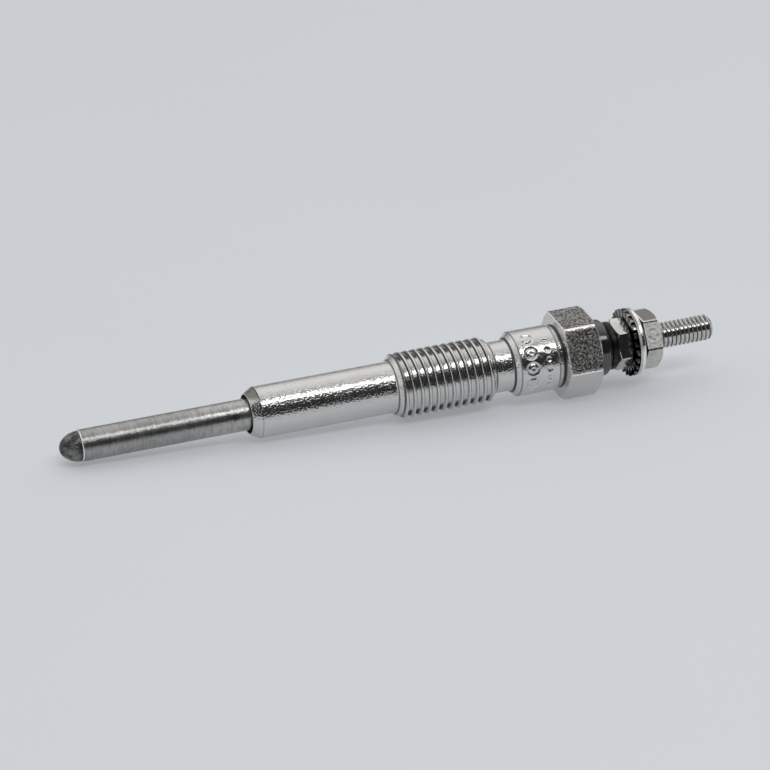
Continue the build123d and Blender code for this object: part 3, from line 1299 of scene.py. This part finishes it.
def flange_nut_finish():
    """Dull zinc with a scuffed film on top, painted highlights, and painted shade in the groove.
    """
    material, position = start_material("dull_zinc")
    values = metal_values(
        position,
        bright=(0.66, 0.65, 0.62, 1),
        dull=(0.54, 0.525, 0.5, 1),
        rough=0.12,
        grain=0.35 * MM,
        depth=0.06 * MM,
    )
    station = coordinate(position, "X")
    radius = off_axis(position)
    on_flats = radius < flange_corner - nut_rounding
    rim_front = sharpened(station, flange_front + 0.5 * MM, flange_front + 0.35 * MM)
    # The rim's rear half, polished and painted bright as a highlight.
    rim_polish_and_highlight = (1 - rim_front) * (station < groove_start)
    film = dust_film(position) * (on_flats + rim_front * 0.8)
    washer_side = station < flange_front + 0.05 * MM
    past_flange = (station > groove_start - nut_edge) * (station < shade_end)
    in_groove = past_flange * (radius < flange_corner)
    hidden = sharpened(facing_along(position, "X"), 0.6, 0.3)
    # The painted highlight line where each flat begins.
    edge_highlight = (station > shade_end) * (station < highlight_end)
    scuffs = sharpened(noise(position, 0.4 * MM, detail=3.0, roughness=0.65), 0.48, 0.66)
    scuffed = mixed(scuffs * 0.75, *scuff_tones)
    settled = mixed(sharpened(upward(position), 0.6, 0.85), scuffed, settled_film)
    film_and_highlight = mixed(edge_highlight, settled, highlight_zinc)
    with_rim_highlight = mixed(rim_polish_and_highlight, values["Base Color"], polished_highlight_zinc)
    plated = mixed(film, with_rim_highlight, film_and_highlight)
    shaded = washer_side + in_groove * hidden
    values["Base Color"] = mixed(shaded, plated, deep_shade)
    values["Roughness"] = values["Roughness"] + film * 0.25
    values["Metallic"] = 1 - film * 0.75
    return close_material(material, values)


dress(flange_nut, flange_nut_finish())

# %% [markdown]
# The lock washer is spring steel. Its ring and the gaps between its teeth are painted dark as
# shade, and so are the teeth at the sides. On the others one half of each twisted tooth is
# painted bright as a highlight. The shader counts the teeth by angle round the axis, just as
# the mesh does.

# %% The washer's spring steel
washer_depth = 0.035 * MM
tooth_highlight_tones = [(0.6, 0.59, 0.565, 1), (0.26, 0.254, 0.243, 1)]
# The dark colour of the painted shade on the washer's ring, gaps and side teeth.
washer_shade_tone = (0.04, 0.038, 0.035, 1)


def washer_finish():
    """Spring steel painted dark as shade, with a painted highlight on one half of each tooth."""
    material, position = start_material("spring_steel")
    depth = coordinate(position, "Y")
    height = coordinate(position, "Z")
    radius = off_axis(position)
    on_teeth = sharpened(radius, tooth_root_radius, tooth_root_radius + 0.25 * MM)
    tooth_count = height.math("ARCTAN2", height, depth) * (teeth / (2 * math.pi))
    off_centre = tooth_count.math("FRACT", tooth_count) - 0.5
    away = off_centre.math("ABSOLUTE", off_centre)
    # One half of each tooth gets a painted highlight.
    on_face = sharpened(away, 0.32, 0.28) * (sharpened(off_centre, 0.0, 0.12) * 0.75 + 0.25)
    # The teeth at the sides stay in painted shade.
    side_shade = sharpened(height, 4.4 * MM, 2.4 * MM) * sharpened(height, -4.0 * MM, -2.6 * MM)
    tooth_highlight = on_teeth * on_face * (1 - side_shade * 0.75)
    tone = noise(position, 0.5 * MM, detail=3.0)
    dent = noise(position, 0.3 * MM, detail=3.0)
    values = {
        "Base Color": mixed(tooth_highlight, washer_shade_tone, mixed(tone, *tooth_highlight_tones)),
        "Roughness": 0.14 + tone * 0.1,
        "Metallic": 1.0,
        "Normal": bumped(dent, washer_depth),
    }
    return close_material(material, values)


dress(washer, washer_finish())

# %% [markdown]
# The bush is a black moulding with a smooth, hard skin. It isn't a metal: it shows its own
# black, and on top of that a clear reflection. A high IOR gives the strong sheen that
# glass-filled phenolic has.

# %% The bush's moulding
def moulded(name, dark, light, rough, grain, depth, ior=1.5):
    """A moulded, rubbery or powdery material: two close tones, and a faint grain."""
    material, position = start_material(name)
    tone = noise(position, grain * 3, detail=4.0)
    dent = noise(position, grain, detail=3.0)
    values = {
        "Base Color": mixed(tone, dark, light),
        "Roughness": rough + dent * 0.1,
        "IOR": ior,
        "Normal": bumped(dent, depth),
    }
    return close_material(material, values)


black_phenolic = moulded(
    "black_phenolic",
    dark=(0.014, 0.014, 0.015, 1),
    light=(0.034, 0.034, 0.036, 1),
    rough=0.08,
    grain=0.4 * MM,
    depth=0.02 * MM,
    ior=1.9,
)
dress(bush, black_phenolic)

# %% [markdown]
# Five nodes are hidden in the plug: two coils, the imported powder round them, and two seals.
# Nobody will see them in the picture, but who takes the part apart will, so each keeps its CAD
# mesh and gets a plain material of its kind.

# %% Materials of the hidden nodes
coil_wire = plain_metal(
    "coil_wire",
    bright=(0.52, 0.49, 0.44, 1),
    dull=(0.36, 0.34, 0.31, 1),
    rough=0.3,
    grain=0.15 * MM,
    depth=0.004 * MM,
)
packed_powder = moulded(
    "packed_powder",
    dark=(0.62, 0.61, 0.58, 1),
    light=(0.78, 0.77, 0.74, 1),
    rough=0.85,
    grain=0.12 * MM,
    depth=0.02 * MM,
)
seal_rubber = moulded(
    "seal_rubber",
    dark=(0.02, 0.02, 0.021, 1),
    light=(0.045, 0.044, 0.043, 1),
    rough=0.55,
    grain=0.2 * MM,
    depth=0.008 * MM,
)
hidden_nodes = {
    "heating_coil": coil_wire,
    "regulating_coil": coil_wire,
    "insulating_powder": packed_powder,
    "tube_seal": seal_rubber,
    "ring_seal": seal_rubber,
}
for node_name, material in hidden_nodes.items():
    dress(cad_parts[node_name], material)

# %% [markdown]
# The plug lies on a table. It touches it with the nose's front edge and with the hexagon, so
# the table is very slightly tilted in the plug's own frame, where the axis is level. The
# floor is a plain pale sheet of paper. It is a stage object, which means that it isn't part
# of the model.

# %% The floor
nose_contact = Vector((0.0, 0.0, -nose_radius))
hexagon_contact = Vector((hexagon_front, 0.0, -hexagon_flats / 2))
floor_half = 2.5
gap_below = 0.005 * MM


def make_floor():
    """A square sheet through both places where the plug touches it."""
    run = (hexagon_contact - nose_contact).normalized()
    across = Vector((0.0, 1.0, 0.0))
    centre = (nose_contact + hexagon_contact) / 2 - Vector((0, 0, gap_below))
    signs = [(-1, -1), (1, -1), (1, 1), (-1, 1)]
    corners = [centre + run * floor_half * a + across * floor_half * b for a, b in signs]
    mesh_maker = bmesh.new()
    mesh_maker.faces.new([mesh_maker.verts.new(place) for place in corners])
    mesh = bpy.data.meshes.new("floor")
    mesh_maker.to_mesh(mesh)
    mesh_maker.free()
    sheet = bpy.data.objects.new("floor", mesh)
    bpy.context.scene.collection.objects.link(sheet)
    print("floor tilts by", round(math.degrees(math.asin(-run.z)), 2), "degrees")
    return sheet


floor = make_floor()

# %% [markdown]
# Paper is a plain diffuse surface. A part of what the camera and the metal see of it is its
# own even tone instead, so that the background stays pale and even while the plug keeps its
# soft shadow. Light Path tells which rays those are.

# %% The paper
backdrop_share = 0.35
paper_grain = 60 * MM
paper_tones = [(0.75, 0.775, 0.81, 1), (0.77, 0.795, 0.83, 1)]


def paper_finish():
    """Pale paper, partly lit and partly of its own tone for the rays that show it."""
    material, position = start_material("pale_paper")
    paper = mixed(noise(position, paper_grain), *paper_tones)
    lit = paper.node("ShaderNodeBsdfDiffuse", {}, {"Color": paper})
    even = paper.node("ShaderNodeEmission", {}, {"Color": paper, "Strength": 1.0})
    camera_ray = paper.node("ShaderNodeLightPath", {}, {}, "Is Camera Ray")
    glossy_ray = paper.node("ShaderNodeLightPath", {}, {}, "Is Glossy Ray")
    through_ray = paper.node("ShaderNodeLightPath", {}, {}, "Is Transmission Ray")
    share = (camera_ray + glossy_ray + through_ray) * backdrop_share
    surface = paper.node("ShaderNodeMixShader", {}, {0: share, 1: lit, 2: even})
    paper.node("ShaderNodeOutputMaterial", {}, {"Surface": surface})
    return material


dress(floor, paper_finish())

# %% [markdown]
# Polished metal has hardly any colour of its own: it shows the room. The room here is a
# small studio. Over and behind the plug it is pale, in front of it, where the camera stands,
# it is dark, and one softbox hangs between the two. On every round piece that gives the
# picture its pattern: pale top, white line, dark band, and the floor's soft grey below.
# The walls are painted in the world's shader by the angle round the plug's axis, and a pale
# card closes the end that the plug's tip points at, so that every face with that aim shows
# light.

# %% The studio's walls
wall_stops = [
    (-180, 0.05),
    (-168, 0.45),
    (-90, 0.5),
    (-2, 0.32),
    (1, 0.02),
    (56, 0.02),
    (78, 0.1),
    (88, 0.56),
    (99, 0.76),
    (114, 0.92),
    (136, 1.0),
    (152, 0.82),
    (164, 0.5),
    (174, 0.12),
    (180, 0.05),
]
end_card = (0.85, 0.85, 0.85, 1)


def make_world():
    """Paints the walls by (degrees round the axis, grey), with 0 at the camera's side."""
    world = bpy.data.worlds.new("studio")
    bpy.context.scene.world = world
    world.use_nodes = True
    world.node_tree.nodes.clear()
    start = Link(world.node_tree)
    direction = start.node("ShaderNodeTexCoord", {}, {}, "Generated")
    along = coordinate(direction, "X")
    across = coordinate(direction, "Y")
    up = coordinate(direction, "Z")
    share = up.math("ARCTAN2", up, 0 - across) * (0.5 / math.pi) + 0.5
    stops = [((degrees + 180) / 360, grey) for degrees, grey in wall_stops]
    walls = share.node("ShaderNodeValToRGB", {"stops": stops}, {"Fac": share})
    room = mixed(sharpened(0 - along, 0.8, 0.9), walls, end_card)
    light = room.node("ShaderNodeBackground", {}, {"Color": room, "Strength": 1.0})
    light.node("ShaderNodeOutputWorld", {}, {"Surface": light})
    print("walls painted with", len(stops), "stops")


make_world()

# %% [markdown]
# The softbox is much longer than the plug, so that its reflection runs along the whole plug
# as one line. The angle over which it spreads sets how thick that line is, and its elevation
# sets how high it lies.

# %% The softbox
def softbox(elevation, spread, distance, shift, length, brightness):
    """A rectangular lamp, parallel to the plug, above the camera's side of it."""
    lamp = bpy.data.lights.new("softbox", "AREA")
    lamp.shape = "RECTANGLE"
    lamp.size = length
    lamp.size_y = 2 * distance * math.tan(spread / 2)
    lamp.energy = brightness * math.pi * lamp.size * lamp.size_y
    holder = bpy.data.objects.new("softbox", lamp)
    middle = Vector(((tip + stud_end) / 2 + shift, 0, 0))
    away = Vector((0, -math.cos(elevation), math.sin(elevation)))
    holder.location = middle + away * distance
    holder.rotation_euler = away.to_track_quat("Z", "Y").to_euler()
    bpy.context.scene.collection.objects.link(holder)
    print("softbox power", round(lamp.energy, 2), "W")


softbox(
    elevation=math.radians(66),
    spread=math.radians(15),
    distance=0.8,
    shift=0.25,
    length=0.95,
    brightness=3.3,
)

# %% [markdown]
# The picture was taken with a long lens from a little above and to the left, and the camera
# was rolled by about a degree. The camera below has the same angles, and looks at the place
# on the plug that lies in the middle of the photograph.

# %% The camera
camera_azimuth = math.radians(-20)
camera_elevation = math.radians(28.5)
camera_roll = math.radians(-0.87)
camera_distance = 0.705
camera_lens = 220
camera_sensor = 36
aim = Vector((20.5 * MM, 0.0, 0.5 * MM))


def make_camera():
    """The photograph's camera, which looks at the aim from its distance."""
    camera = bpy.data.cameras.new("camera")
    camera.lens = camera_lens
    camera.sensor_width = camera_sensor
    holder = bpy.data.objects.new("camera", camera)
    level = math.cos(camera_elevation)
    back = Vector(
        (
            math.sin(camera_azimuth) * level,
            -math.cos(camera_azimuth) * level,
            math.sin(camera_elevation),
        )
    )
    holder.location = aim + back * camera_distance
    turn = back.to_track_quat("Z", "Y") @ Quaternion((0, 0, 1), camera_roll)
    holder.rotation_euler = turn.to_euler()
    bpy.context.scene.collection.objects.link(holder)
    bpy.context.scene.camera = holder
    print("camera at", [round(v, 3) for v in holder.location])


make_camera()
bpy.context.scene.view_settings.view_transform = "Standard"
